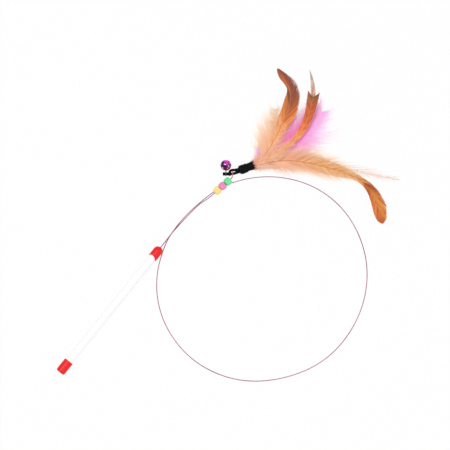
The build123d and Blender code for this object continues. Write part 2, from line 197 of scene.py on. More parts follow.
class Graph:
    """The nodes of one material, of the world or of one geometry tree."""

    def __init__(self, tree):
        self.tree = tree
        tree.nodes.clear()

    def node(self, kind, settings=None, sockets=None, out=0):
        """Add a node, set it, fill its sockets with values or links, and give one of its outputs."""
        made = self.tree.nodes.new(kind)
        for name, value in (settings or {}).items():
            if name == "stops":
                elements = made.color_ramp.elements
                while len(elements) < len(value):
                    elements.new(1.0)
                for element, (place, colour) in zip(elements, value):
                    element.position = place
                    element.color = colour
            else:
                setattr(made, name, value)
        for key, value in (sockets or {}).items():
            for item in value if isinstance(value, list) else [value]:
                if isinstance(item, Value):
                    self.tree.links.new(item.socket, made.inputs[key])
                else:
                    made.inputs[key].default_value = item
        return Value(self, made.outputs[out]) if made.outputs else None

    def maths(self, operation, *values):
        return self.node("ShaderNodeMath", {"operation": operation}, dict(enumerate(values)))

    def vector(self, operation, *values):
        return self.node("ShaderNodeVectorMath", {"operation": operation}, dict(enumerate(values)))

    def dot(self, first, second):
        settings = {"operation": "DOT_PRODUCT"}
        return self.node("ShaderNodeVectorMath", settings, {0: first, 1: second}, out="Value")

    def scaled(self, vector, factor):
        return self.node("ShaderNodeVectorMath", {"operation": "SCALE"}, {0: vector, "Scale": factor})

    def combined(self, x=0.0, y=0.0, z=0.0):
        return self.node("ShaderNodeCombineXYZ", {}, {"X": x, "Y": y, "Z": z})

    def mixed(self, factor, first, second, blend="MIX"):
        """A colour between two."""
        settings = {"data_type": "RGBA", "blend_type": blend}
        return self.node("ShaderNodeMix", settings, {0: factor, 6: first, 7: second}, out=2)

    def ramp(self, factor, colour_stops):
        return self.node("ShaderNodeValToRGB", {"stops": colour_stops}, {"Fac": factor})

    def noise(self, place, scale, detail=2.0, out=0):
        return self.node("ShaderNodeTexNoise", {}, {"Vector": place, "Scale": scale, "Detail": detail}, out)

    def bump(self, height, strength, distance):
        sockets = {"Height": height, "Strength": strength, "Distance": distance}
        return self.node("ShaderNodeBump", {}, sockets)

    def between(self, value, low, high):
        """0 below low, 1 above high, and a smooth step in between."""
        sockets = {"Value": value, "From Min": low, "From Max": high}
        return self.node("ShaderNodeMapRange", {"interpolation_type": "SMOOTHSTEP"}, sockets)

    def object_place(self):
        return self.node("ShaderNodeTexCoord", out="Object")

    def attribute(self, name):
        return self.node("ShaderNodeAttribute", {"attribute_name": name}, out="Fac")

    def seen(self):
        """1 for the rays that show the background: to the camera, off gloss and through glass."""
        kinds = ("Is Camera Ray", "Is Glossy Ray", "Is Transmission Ray")
        to_camera, off_gloss, through_glass = (self.node("ShaderNodeLightPath", out=kind) for kind in kinds)
        return self.maths("MINIMUM", to_camera + off_gloss + through_glass, 1.0)

    def stored(self, geometry, name, value, kind="FLOAT", domain="POINT"):
        """The geometry with a named value on each of its points or instances."""
        settings = {"data_type": kind, "domain": domain}
        sockets = {"Geometry": geometry, "Name": name, "Value": value}
        return self.node("GeometryNodeStoreNamedAttribute", settings, sockets)

    def read(self, name, kind="FLOAT"):
        return self.node("GeometryNodeInputNamedAttribute", {"data_type": kind}, {"Name": name})

    def chance(self, low, high, seed):
        """A random value for each point or instance."""
        sockets = {2: low, 3: high, "Seed": seed}
        return self.node("FunctionNodeRandomValue", {"data_type": "FLOAT"}, sockets, out=1)

    def counted(self, curve, count):
        """The curve with that many points, evenly apart."""
        return self.node("GeometryNodeResampleCurve", {"mode": "COUNT"}, {"Curve": curve, "Count": count})

    def strip(self, source, outward):
        """A strip's mesh, with the place from root to tip kept under a name and that across it as edge."""
        settings = {"transform_space": "ORIGINAL"}
        mesh = self.node("GeometryNodeObjectInfo", settings, {"Object": source}, out="Geometry")
        place = self.node("GeometryNodeInputPosition")
        mesh = self.stored(mesh, outward, self.node("ShaderNodeSeparateXYZ", {}, {0: place}))
        return self.stored(mesh, "edge", self.node("ShaderNodeSeparateXYZ", {}, {0: place}, out="Y"))

    def moved(self, geometry, **place):
        return self.node("GeometryNodeSetPosition", {}, {"Geometry": geometry, **place})

    def realized(self, *geometry):
        joined = self.node("GeometryNodeJoinGeometry", {}, {0: list(geometry)})
        return self.node("GeometryNodeRealizeInstances", {}, {0: joined})

    def finished(self, finish, *geometry):
        """End a geometry tree with one plain mesh in one finish."""
        sockets = {"Geometry": self.realized(*geometry), "Material": finish}
        self.node("NodeGroupOutput", {}, {0: self.node("GeometryNodeSetMaterial", {}, sockets)})
        return self


def tint(red, green, blue):
    """Linear colour from the usual 0 to 255 values."""
    return (*((part / 255) ** DISPLAY_GAMMA for part in (red, green, blue)), 1.0)


def stops(*rows):
    """A ramp's stops, from rows of a place from 0 to 1 and a colour's 0 to 255 values."""
    return [(place, tint(*colour)) for place, *colour in rows]


def material(name, build):
    """A material whose builder gives the principled shader's sockets."""
    made = bpy.data.materials.new(name)
    made.use_nodes = True
    graph = Graph(made.node_tree)
    surface = graph.node("ShaderNodeBsdfPrincipled", {}, build(graph))
    graph.node("ShaderNodeOutputMaterial", {}, {"Surface": surface})
    return made


def white_tube(graph):
    place = graph.object_place()
    stretched = graph.node("ShaderNodeMapping", {}, {"Vector": place, "Scale": (0.06, 1.0, 1.0)})
    draw_lines = graph.noise(stretched, scale=900.0, detail=3.0)
    cloud = graph.noise(place, scale=60.0)
    return {
        "Base Color": graph.mixed(cloud, tint(247, 246, 248), tint(253, 252, 253)),
        "Roughness": 0.3 + 0.1 * draw_lines,
        "IOR": 1.4,
        # Painted glow: a faint emission that lightens the tube's shaded side, standing for light through the
        # white plastic
        "Emission Color": tint(255, 248, 250),
        "Emission Strength": PAINTED_GLOW,
    }


def red_vinyl(graph):
    place = graph.object_place()
    cloud = graph.noise(place, scale=220.0, detail=3.0)
    grain = graph.noise(place, scale=2600.0)
    return {
        "Base Color": graph.mixed(cloud, tint(228, 8, 18), tint(244, 18, 26)),
        "Roughness": 0.34 + 0.12 * grain,
        "IOR": 1.42,
        "Normal": graph.bump(cloud, strength=0.05, distance=0.0002),
    }


def wire_coat(graph):
    cloud = graph.noise(graph.object_place(), scale=14.0, detail=3.0)
    patch = graph.between(cloud, low=0.35, high=0.65)
    return {
        "Base Color": graph.mixed(patch, tint(138, 66, 104), tint(190, 122, 156)),
        "Metallic": 0.15,
        "Roughness": 0.34 + 0.12 * patch,
        "Specular IOR Level": 0.25,
    }


def plug_plastic(graph):
    grain = graph.noise(graph.object_place(), scale=800.0)
    return {
        "Base Color": graph.mixed(grain, tint(222, 222, 218), tint(238, 238, 234)),
        "Roughness": 0.45,
        "Normal": graph.bump(grain, strength=0.1, distance=0.0001),
    }


def bead_plastic(deep, light):
    def build(graph):
        swirl = graph.noise(graph.object_place(), scale=200.0)
        return {
            "Base Color": graph.mixed(swirl, deep, light),
            "Roughness": 0.16 + 0.06 * swirl,
            "IOR": 1.42,
        }
    return build


def bell_lacquer(graph):
    """Purple lacquer with painted reflections: painted bright patches on one side, a painted red reflection
    on the other and painted pale glints in spots of noise.
    """
    place = graph.object_place()
    from_centre = graph.scaled(graph.vector("SUBTRACT", place, BELL_CENTRE), 1.0 / BELL_RADIUS)
    # Painted reflections: bright patches towards one side and a red cast towards the other, set by the
    # direction from the bell's centre
    painted_highlight_side = graph.dot(from_centre, (0.85, -0.1, 0.5))
    painted_red_reflection_side = graph.dot(from_centre, (-0.5, -0.75, -0.2))
    cloud = graph.noise(place, scale=380.0, detail=1.0) - 0.5
    painted_glint_noise = graph.noise(place, scale=460.0, detail=0.0)
    orange_peel = graph.noise(place, scale=900.0)
    painted_highlight = graph.between(painted_highlight_side + 3.2 * cloud, low=0.35, high=0.85)
    red = graph.between(painted_red_reflection_side + 1.2 * cloud, low=0.35, high=0.75)
    # Painted shade and reflections: dark purple where no painted highlight falls, magenta in the painted
    # highlights, the painted red reflection, then painted pale glints
    colour = graph.mixed(painted_highlight, tint(56, 0, 64), tint(230, 60, 200))
    colour = graph.mixed(red, colour, tint(176, 20, 84))
    colour = graph.mixed(graph.between(painted_glint_noise, low=0.65, high=0.73), colour, tint(255, 196, 250))
    return {
        "Base Color": colour,
        "Metallic": 1.0,
        "Roughness": 0.1 + 0.08 * orange_peel,
        "Coat Weight": 0.5,
        "Coat Roughness": 0.05,
        "Normal": graph.bump(orange_peel, strength=0.12, distance=0.0001),
    }


def tinted_steel(graph):
    streaks = graph.noise(graph.object_place(), scale=700.0, detail=3.0)
    return {
        "Base Color": graph.mixed(streaks, tint(84, 48, 74), tint(132, 92, 120)),
        "Metallic": 1.0,
        "Roughness": 0.2 + 0.15 * streaks,
    }


def black_cord(graph):
    run = graph.attribute("run")
    turn = graph.attribute("turn")
    thread = graph.noise(graph.combined(run * THREADS_ALONG, turn * THREADS_AROUND), scale=2.2)
    return {
        "Base Color": graph.mixed(thread, tint(4, 4, 5), tint(24, 22, 26)),
        "Roughness": 0.5 + 0.25 * thread,
        "Specular IOR Level": 0.08,
        "Normal": graph.bump(thread, strength=0.3, distance=0.0002),
    }


def black_tape(graph):
    place = graph.object_place()
    along_binding = (0, 0, math.radians(-BINDING_HEADING))
    turned = graph.node("ShaderNodeMapping", {}, {
        "Vector": place, "Rotation": along_binding, "Scale": (0.3, 1.0, 1.0),
    })
    crinkle = graph.noise(turned, scale=620.0, detail=3.0)
    fleck = graph.noise(place, scale=1900.0)
    return {
        "Base Color": graph.mixed(crinkle, tint(2, 2, 3), tint(18, 17, 19)),
        "Roughness": 0.32 + 0.2 * fleck,
        "Specular IOR Level": 0.08,
        "Normal": graph.bump(crinkle + 0.3 * fleck, strength=0.7, distance=0.0006),
    }


def feather_colours(right_stops, left_stops, shade, shaft_colour, streaks=34.0, pale=None):
    """Colours along a feather's two vanes, streaked from barb to barb, and its shaft's own colour.

    A downy feather's barbs fade to a pale colour at their tips, and glow faintly in that colour: painted
    light that stands for light showing through them.
    """
    def build(graph):
        along, across, strand, flank = map(graph.attribute, ("along", "across", "strand", "flank"))
        on_right = graph.between(flank * across, low=-0.35, high=0.35)
        colour = graph.mixed(on_right, graph.ramp(along, left_stops), graph.ramp(along, right_stops))
        streak_place = graph.combined(
            along * streaks, flank * STREAK_FLANK_STEP, across * STREAK_ACROSS_STEP)
        streak = graph.between(graph.noise(streak_place, scale=1.0, detail=3.0), low=0.36, high=0.64)
        dark = graph.mixed(1.0, colour, shade, blend="MULTIPLY")
        colour = graph.mixed(0.75 * streak + 0.25 * strand, colour, dark)
        light = {}
        if pale:
            colour = graph.mixed(graph.between(across, low=0.25, high=1.2), colour, pale)
            # Painted glow in the pale colour, standing for light that shows through the down
            light = {"Emission Color": pale, "Emission Strength": PAINTED_GLOW}
        on_vane = graph.between(across, low=-0.5, high=-0.1)
        return {
            "Base Color": graph.mixed(on_vane, shaft_colour, colour),
            "Roughness": 0.55 + 0.2 * strand,
            "Sheen Weight": 0.2,
            "Sheen Roughness": 0.4,
            **light,
        }
    return build


def heading_vector(degrees, lift=0.0):
    """Unit vector at a heading from +X, lifted off the level by some degrees."""
    turn = math.radians(degrees)
    rise = math.radians(lift)
    return Vector((math.cos(turn) * math.cos(rise), math.sin(turn) * math.cos(rise), math.sin(rise)))


def linked(name, data):
    """A new object in the scene, at the origin."""
    made = bpy.data.objects.new(name, data)
    scene.collection.objects.link(made)
    return made


def mesh_object(name, points, faces):
    mesh = bpy.data.meshes.new(name)
    mesh.from_pydata(points, [], faces)
    return linked(name, mesh)


def nurbs(name, points, order, radii=None):
    """An open curve with the points as its control points."""
    data = bpy.data.curves.new(name, "CURVE")
    data.dimensions = "3D"
    spline = data.splines.new("NURBS")
    spline.points.add(len(points) - 1)
    for index, point in enumerate(points):
        spline.points[index].co = (*point, 1.0)
        spline.points[index].radius = radii[index] if radii else 1.0
    spline.order_u = order
    spline.use_endpoint_u = True
    spline.resolution_u = 12
    return linked(name, data)


def geometry_tree(name, **inputs):
    """An empty geometry tree with named inputs of several kinds, as a graph and a table of those inputs."""
    tree = bpy.data.node_groups.new(name, "GeometryNodeTree")
    labels = [(label, kind) for kind, group in inputs.items() for label in group]
    for label, kind in labels:
        tree.interface.new_socket(label, in_out="INPUT", socket_type="NodeSocket" + kind)
    tree.interface.new_socket("Made", in_out="OUTPUT", socket_type="NodeSocketGeometry")
    graph = Graph(tree)
    given = tree.nodes.new("NodeGroupInput")
    return graph, {label: Value(graph, given.outputs[label]) for label, _ in labels}


def grown(source, graph, values, keep):
    """The mesh that a geometry tree makes of an object, as a new object at the origin in its stead."""
    modifier = source.modifiers.new("grow", "NODES")
    modifier.node_group = graph.tree
    for item in graph.tree.interface.items_tree:
        if item.in_out == "INPUT" and item.name in values:
            modifier[item.identifier] = values[item.name]
    evaluated = source.evaluated_get(bpy.context.evaluated_depsgraph_get())
    mesh = bpy.data.meshes.new_from_object(evaluated)
    for name in [item.name for item in mesh.attributes if not item.is_required and not item.is_internal]:
        if name not in keep:
            mesh.attributes.remove(mesh.attributes[name])
    mesh.materials.clear()
    mesh.materials.append(values["Finish"])
    source.modifiers.remove(modifier)
    name = source.name
    bpy.data.objects.remove(source)
    return linked(name, mesh)


# Camera at the photograph's angle: high over the wand, a little from the front
LOOK_AT = Vector((0.2178, -0.03565, FLOOR))
VIEW_DISTANCE = 2.5
VIEW_TILT = math.radians(10.0)
AHEAD = Vector((0.7843, 0.6204, 0))
RIGHT = Vector((AHEAD.y, -AHEAD.x, 0))
camera_data = bpy.data.cameras.new("camera")
camera_data.lens = 200.0
camera_data.sensor_width = 36.0
camera_data.clip_end = 20.0
camera = linked("camera", camera_data)
camera.location = LOOK_AT + VIEW_DISTANCE * (UPWARD * math.cos(VIEW_TILT) - AHEAD * math.sin(VIEW_TILT))
camera.rotation_euler = (LOOK_AT - camera.location).to_track_quat("-Z", "Y").to_euler()
scene.camera = camera

# Springy wire
spring_wire = nurbs("spring_wire", [NOSE + Vector(point) for point in WIRE_ROUTE], order=3)
spring_wire.data.bevel_depth = WIRE_RADIUS
spring_wire.data.bevel_resolution = 3
spring_wire.data.use_fill_caps = True
coat = material("wire_coat", wire_coat)
spring_wire.data.materials.append(coat)
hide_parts("lead_wire")
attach(spring_wire, "handle")


def feather_tree():
    """Barbs along both sides of a shaft, whose radius at each point gives how far they reach there."""
    graph, given = geometry_tree(
        "feather",
        Geometry=["Shaft"],
        Object=["Barb"],
        Int=["Barbs", "Seed"],
        Float=["Lean", "Curl", "Droop", "Spread", "Rise", "Ragged", "Split", "Clumps", "Stray", "Wave",
               "Barb width", "Twist", "Shaft radius", "Lowest"],
        Material=["Finish"],
    )
    shaft = graph.counted(given["Shaft"], given["Barbs"])
    shaft = graph.stored(shaft, "along", graph.node("GeometryNodeSplineParameter"))
    shaft = graph.stored(shaft, "reach", graph.node("GeometryNodeInputRadius"))
    shaft = graph.stored(shaft, "root", graph.node("GeometryNodeInputPosition"), kind="FLOAT_VECTOR")
    shaft = graph.stored(shaft, "ahead", graph.node("GeometryNodeInputTangent"), kind="FLOAT_VECTOR")
    barb = graph.strip(given["Barb"], "across")
    long_enough = graph.maths("GREATER_THAN", graph.read("reach"), SHORTEST_BARB)
    flanks = []
    for flank, first_seed in FLANK_SEEDS:
        sided = graph.node("GeometryNodeInstanceOnPoints", {}, {
            "Points": shaft, "Selection": long_enough, "Instance": graph.stored(barb, "flank", flank),
        })
        for offset, (name, low) in enumerate((("strand", 0.0), ("stray", -1.0), ("lofty", -1.0))):
            share = graph.chance(low, 1.0, given["Seed"] + (first_seed + offset))
            sided = graph.stored(sided, name, share, domain="INSTANCE")
        flanks.append(sided)
    barbs = graph.realized(*flanks)

    across, edge, flank, along = map(graph.read, ("across", "edge", "flank", "along"))
    strand, stray, lofty = map(graph.read, ("strand", "stray", "lofty"))
    root = graph.read("root", "FLOAT_VECTOR")
    ahead = graph.read("ahead", "FLOAT_VECTOR")
    side = graph.vector("NORMALIZE", graph.vector("CROSS_PRODUCT", ahead, tuple(UPWARD)))
    clump_place = graph.combined(
        along * given["Clumps"], flank * CLUMP_FLANK_STEP, given["Seed"] * CLUMP_SEED_STEP)
    clump = graph.noise(clump_place, scale=1.0, detail=1.0) - 0.5
    reach = graph.read("reach") * (1.0 - given["Ragged"] * strand)
    lean = given["Lean"] + given["Curl"] * across + given["Split"] * clump + given["Stray"] * stray
    half_width = given["Barb width"] * edge * (1.0 - STRIP_TAPER * across)
    twist = given["Twist"] * lofty
    forward = reach * across * lean + half_width * graph.maths("COSINE", twist)
    height = reach * across * (given["Rise"] + given["Spread"] * lofty - given["Droop"] * across)
    height = height + half_width * graph.maths("SINE", twist)
    spot = graph.vector("ADD", root, graph.scaled(side, flank * reach * across))
    spot = graph.vector("ADD", spot, graph.scaled(ahead, forward))
    spot = graph.vector("ADD", spot, graph.combined(z=height))
    wave_place = graph.combined(
        across * WAVE_ACROSS_STEP, strand * WAVE_STRAND_STEP, along * WAVE_ALONG_STEP)
    wave = graph.noise(wave_place, scale=1.0, detail=1.0, out="Color")
    wave = graph.vector("MULTIPLY", graph.vector("SUBTRACT", wave, (0.5, 0.5, 0.5)), WAVE_SHARES)
    spot = graph.vector("ADD", spot, graph.scaled(wave, given["Wave"] * across))
    lowest = graph.combined(NO_BOUND, NO_BOUND, given["Lowest"] + REST_LAYER * strand)
    barbs = graph.moved(barbs, Position=graph.vector("MAXIMUM", spot, lowest))

    ring = graph.node("GeometryNodeCurvePrimitiveCircle", {}, {"Resolution": 8, "Radius": 1.0})
    thick = given["Shaft radius"] * (1.0 - SHAFT_TAPER * along)
    stem = graph.node("GeometryNodeCurveToMesh", {}, {
        "Curve": shaft, "Profile Curve": ring, "Scale": thick, "Fill Caps": True,
    })
    stem = graph.stored(graph.stored(stem, "across", -1.0), "strand", 0.5)
    return graph.finished(given["Finish"], barbs, stem)


def flat_strip(half_width=1.0, rows=6):
    """A strip from its root (x = 0) to its tip (x = 1): a hackle's barb or a torn piece of tape."""
    points = [(row / (rows - 1), edge, 0) for row in range(rows) for edge in (-half_width, half_width)]
    faces = [(2 * row, 2 * row + 2, 2 * row + 3, 2 * row + 1) for row in range(rows - 1)]
    return points, faces


def downy_strip():
    """A plume's barb: a fine strip with hair-thin barbules down both sides."""
    points, faces = flat_strip(DOWNY_HALF_WIDTH, DOWNY_ROWS)
    for barbule in range(BARBULES):
        start = BARBULES_START + BARBULES_SPAN * barbule / BARBULES
        for edge in (-1, 1):
            first = len(points)
            foot = BARBULE_FOOT * edge
            points += [(start, foot, 0), (start + BARBULE_ROOT, foot, 0), (start + BARBULE_SWEEP, edge, 0)]
            faces.append((first, first + 1, first + 2) if edge > 0 else (first + 2, first + 1, first))
    return points, faces


class Outline(NamedTuple):
    """A feather's sizes, its seat in shares of the binding's radius, and its course and widths along it."""

    length: float
    width: float
    lift: float
    seat: tuple
    headings: list
    width_shares: list

    def base(self, length, width, width_shares):
        """The lower part of the same feather, for the down round its quill."""
        headings = self.headings[:len(width_shares)]
        return Outline(length, width, self.lift, self.seat, headings, width_shares)


hackle_barb = mesh_object("hackle_barb", *flat_strip())
down_barb = mesh_object("down_barb", *downy_strip())
feather_graph = feather_tree()
binding_axis = heading_vector(BINDING_HEADING)
binding_side = heading_vector(BINDING_HEADING + 90)
binding_start = BINDING_END - binding_axis * BINDING_LENGTH


def feather(name, node, slot, outline, finish, fluff, open_tip=False, **values):
    """A feather on its shaft, which takes the course of its solid.

    In its lower half the barbs reach at least as far as the fluff. An open tip keeps its last width.
    """
    aside, above = outline.seat
    shares = outline.width_shares
    last_station = len(shares) - 1
    mouth = BINDING_END + binding_side * (aside * BINDING_RADIUS) + UPWARD * (above * BINDING_RADIUS)
    step = outline.length / len(outline.headings)
    points = [mouth - binding_axis * QUILL_SEAT, mouth, mouth + binding_axis * QUILL_STUB]
    runs = [-QUILL_SEAT, 0.0, QUILL_STUB]
    last = 0.0
    for heading in outline.headings:
        course = BINDING_HEADING + (last + heading) / 2
        points.append(points[-1] + heading_vector(course, outline.lift) * step)
        runs.append(runs[-1] + step)
        last = heading

    def half_width(run):
        """Of the outline, at a distance along the shaft from the binding."""
        place = (run - QUILL_STUB) / step - 1.0
        station = math.floor(place)
        if place < 0.0:
            share = shares[0]
        elif station >= last_station:
            share = shares[-1] if open_tip or place <= last_station else 0.0
        else:
            share = shares[station] + (shares[station + 1] - shares[station]) * (place - station)
        least = fluff if run < 0.5 * outline.length else 0.0
        return max(least, share * outline.width / 2)

    def reach(run):
        """Longest sideways reach of a barb that leans forward and still ends on the outline."""
        lean = values["Lean"] + values["Curl"]
        tries = [outline.width / 2 * (1.0 - part / REACH_TRIES) for part in range(REACH_TRIES)]
        return next((size for size in tries if half_width(run + lean * size) >= size), 0.0)

    radii = [0.0] + [reach(run) for run in runs[1:]]
    shaft = nurbs(name, points, order=4, radii=radii)
    made = grown(shaft, feather_graph, {"Finish": finish, **values}, ("along", "across", "strand", "flank"))
    made.data.shade_smooth()
    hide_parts(node)
    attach(made, "lure")


# How barbs grow: slopes and shares of their reach, a measure of clumps and a twist in radians.
# The wave, the widths, the shaft's radius and the lowest place are in metres.
HACKLE = {
    "Barb": hackle_barb, "Lean": 1.9, "Curl": 0.4, "Droop": 0.12, "Spread": 0.02, "Rise": 0.0,
    "Ragged": 0.12, "Split": 0.7, "Clumps": 13.0, "Stray": 0.05, "Wave": 0.0004, "Barb width": 0.0006,
    "Twist": 0.1, "Shaft radius": 0.0004, "Lowest": -0.0034,
}
DOWN = {
    "Barb": down_barb, "Lean": 0.8, "Curl": 0.3, "Droop": 0.06, "Spread": 0.045, "Rise": 0.03,
    "Ragged": 0.85, "Split": 0.45, "Clumps": 8.0, "Stray": 0.75, "Wave": 0.012, "Barb width": 0.0014,
    "Twist": 0.15, "Shaft radius": 0.0003, "Lowest": -0.0034,
}
WISPS = {
    **HACKLE, "Lean": 2.6, "Curl": 0.8, "Ragged": 0.8, "Split": 1.8, "Stray": 0.5, "Wave": 0.004,
    "Barb width": 0.0004,
}
LEFT_VANES = {**HACKLE, "Lean": 2.1}
MIDDLE_VANES = {**HACKLE, "Lean": 0.9, "Curl": 0.2}
RIGHT_VANES = {**HACKLE, "Ragged": 0.15, "Split": 0.6}
PINK_DOWN = {**DOWN, "Ragged": 0.72, "Stray": 0.95}
SHORT_DOWN = {**DOWN, "Wave": 0.002, "Barb width": 0.0009}
FLUFF = {**DOWN, "Rise": 0.06, "Wave": 0.008, "Barb width": 0.001, "Shaft radius": 0.0002}
LONG_FLUFF = {
    **FLUFF, "Rise": 0.0, "Lean": 1.5, "Ragged": 0.6, "Split": 1.1, "Stray": 0.4, "Wave": 0.005,
}

# Colours of the feathers from quill to tip
left_brown = material("left_brown", feather_colours(
    stops((0.05, 254, 196, 146), (0.25, 255, 166, 88), (0.4, 248, 152, 76), (0.52, 218, 122, 60),
          (0.62, 168, 92, 56), (0.7, 158, 86, 60), (0.84, 164, 92, 68), (1.0, 136, 72, 50)),
    stops((0.05, 254, 198, 148), (0.25, 255, 170, 90), (0.42, 250, 158, 80), (0.58, 216, 126, 62),
          (0.65, 140, 76, 42), (0.72, 126, 66, 38), (0.79, 212, 112, 58), (1.0, 150, 78, 50)),
    shade=tint(212, 182, 160), shaft_colour=tint(220, 140, 82), streaks=30.0))
orange_stops = stops((0.06, 255, 210, 176), (0.3, 255, 200, 146), (0.52, 255, 166, 96), (0.68, 246, 128, 64),
                     (0.82, 214, 102, 50), (0.93, 190, 98, 52), (1.0, 132, 98, 52))
middle_orange = material("middle_orange", feather_colours(
    orange_stops, orange_stops,
    shade=tint(216, 186, 166), shaft_colour=tint(232, 160, 104), streaks=22.0))
right_tawny = material("right_tawny", feather_colours(
    stops((0.05, 255, 200, 178), (0.2, 255, 196, 160), (0.4, 254, 200, 142), (0.58, 252, 198, 136),
          (0.69, 248, 180, 110), (0.72, 196, 92, 34), (0.84, 238, 134, 58), (1.0, 200, 96, 40)),
    stops((0.05, 255, 198, 174), (0.2, 255, 188, 150), (0.4, 252, 184, 120), (0.58, 246, 180, 112),
          (0.69, 244, 172, 100), (0.72, 190, 88, 32), (0.84, 250, 166, 78), (1.0, 206, 104, 44)),
    shade=tint(204, 172, 148), shaft_colour=tint(190, 118, 66), streaks=46.0))
spike_stops = stops((0.08, 250, 204, 176), (0.5, 246, 192, 168), (0.78, 242, 192, 172), (0.9, 226, 210, 192),
                    (1.0, 206, 204, 180))
spike_pale = material("spike_pale", feather_colours(
    spike_stops, spike_stops,
    shade=tint(204, 180, 168), shaft_colour=tint(176, 110, 84)))
wisp_stops = stops((0.08, 255, 206, 186), (0.5, 255, 208, 180), (1.0, 255, 220, 206))
wisp_pale = material("wisp_pale", feather_colours(
    wisp_stops, wisp_stops,
    shade=tint(220, 200, 190), shaft_colour=tint(240, 196, 174)))
pink_down = material("pink_down", feather_colours(
    stops((0.06, 255, 184, 166), (0.3, 255, 158, 186), (0.5, 255, 168, 228), (0.7, 255, 184, 244),
          (1.0, 255, 204, 250)),
    stops((0.06, 255, 176, 150), (0.3, 255, 120, 166), (0.5, 255, 126, 208), (0.75, 255, 152, 220),
          (1.0, 255, 196, 236)),
    shade=tint(252, 218, 240), shaft_colour=tint(255, 170, 206), streaks=26.0, pale=tint(255, 234, 250)))
peach_down = material("peach_down", feather_colours(
    stops((0.05, 255, 192, 172), (0.3, 255, 192, 134), (0.7, 255, 204, 150), (1.0, 255, 226, 190)),
    stops((0.05, 255, 176, 184), (0.3, 255, 208, 168), (0.7, 255, 222, 188), (1.0, 254, 236, 214)),
    shade=tint(244, 220, 200), shaft_colour=tint(252, 204, 166), streaks=22.0, pale=tint(255, 246, 232)))
low_stops = stops((0.05, 255, 206, 188), (0.4, 255, 190, 140), (1.0, 255, 212, 176))
low_down = material("low_down", feather_colours(
    low_stops, low_stops,
    shade=tint(244, 218, 204), shaft_colour=tint(252, 200, 168), streaks=22.0, pale=tint(255, 234, 216)))
lavender_stops = stops((0.08, 255, 164, 190), (0.55, 255, 184, 220), (1.0, 238, 206, 250))
lavender_down = material("lavender_down", feather_colours(
    lavender_stops, lavender_stops,
    shade=tint(244, 222, 240), shaft_colour=tint(244, 180, 210), streaks=12.0, pale=tint(246, 226, 252)))
warm_stops = stops((0.0, 255, 192, 192), (0.5, 255, 206, 164), (1.0, 255, 182, 112))
warm_fluff = material("warm_fluff", feather_colours(
    warm_stops, warm_stops,
    shade=tint(240, 206, 180), shaft_colour=tint(252, 186, 132), streaks=18.0, pale=tint(255, 220, 184)))
salmon_stops = stops((0.0, 255, 196, 176), (0.35, 255, 194, 156), (0.6, 252, 198, 136), (1.0, 248, 192, 124))
salmon_fluff = material("salmon_fluff", feather_colours(
    salmon_stops, salmon_stops,
    shade=tint(214, 176, 142), shaft_colour=tint(222, 150, 96), streaks=40.0, pale=tint(255, 226, 190)))

# Forms of the feathers, in metres and degrees
LEFT_HACKLE = Outline(
    length=0.1105, width=0.0175, lift=4.0, seat=(0.42, 0.42),
    headings=[26, 38, 41, 41, 45, 50, 50, 75, 100, 103, 104],
    width_shares=[0.06, 0.11, 0.28, 0.56, 0.8, 0.98, 0.98, 0.8, 0.7, 0.54, 0.2])
MIDDLE_HACKLE = Outline(
    length=0.093, width=0.0124, lift=5.0, seat=(0.05, 0.58),
    headings=[5, 9, 11, 20, 30, 41, 50, 55, 63],
    width_shares=[0.08, 0.08, 0.16, 0.42, 0.55, 0.64, 0.74, 0.85, 1.0])
PALE_SPIKE = Outline(
    length=0.123, width=0.006, lift=4.0, seat=(0.18, -0.08),
    headings=[4, 9, 17, 31, 41, 50, 53, 66, 80, 85],
    width_shares=[0.16, 0.19, 0.34, 0.61, 0.78, 0.91, 1.0, 0.88, 0.64, 0.17])
RIGHT_HACKLE = Outline(
    length=0.159, width=0.017, lift=3.0, seat=(-0.42, 0.42),
    headings=[-11, -14, -24, -30, -35, -37, -37, -40, -46, -68, -84, -88, -98, -96],
    width_shares=[0.06, 0.14, 0.3, 0.56, 0.8, 0.92, 0.86, 0.66, 0.42, 0.3, 0.62, 0.9, 0.94, 0.44])
PALE_WISP = Outline(
    length=0.147, width=0.018, lift=2.2, seat=(-0.62, 0.02),
    headings=[-9, -16, -27, -33, -37, -35, -33, -33, -33],
    width_shares=[0.19, 0.38, 0.5, 0.6, 0.8, 1.0, 0.95, 0.7, 0.3])
PINK_PLUME = Outline(
    length=0.086, width=0.057, lift=2.6, seat=(0.05, -0.58),
    headings=[8, 14, 15, 16, 18, 21, 25, 28, 30],
    width_shares=[0.2, 0.3, 0.44, 0.62, 0.8, 0.96, 1.0, 0.84, 0.36])
PEACH_PLUME_LEFT = Outline(
    length=0.059, width=0.040, lift=2.0, seat=(0.4, -0.52),
    headings=[36, 52, 51, 50, 53, 57, 61, 63],
    width_shares=[0.1, 0.4, 0.74, 0.91, 1.0, 0.97, 0.78, 0.32])
PEACH_PLUME_LOW = Outline(
    length=0.066, width=0.036, lift=0.0, seat=(-0.45, -0.48),
    headings=[-6, -13, -16, -18, -19, -20, -22, -24],
    width_shares=[0.12, 0.4, 0.72, 0.92, 1.0, 0.95, 0.68, 0.25])
LAVENDER_TUFT = Outline(
    length=0.016, width=0.0065, lift=2.0, seat=(0.64, 0.0),
    headings=[28, 52, 66, 70, 74, 77, 78],
    width_shares=[0.14, 0.2, 0.5, 0.87, 1.0, 0.81, 0.4])
LEFT_BASE = LEFT_HACKLE.base(0.049, 0.026, [0.5, 0.8, 1.0, 0.8, 0.5])
MIDDLE_BASE = MIDDLE_HACKLE.base(0.0418, 0.018, [0.7, 1.0, 0.8, 0.5])
RIGHT_BASE = RIGHT_HACKLE.base(0.1022, 0.035, [0.3, 0.4, 0.6, 0.8, 0.9, 1.0, 0.86, 0.6, 0.25])

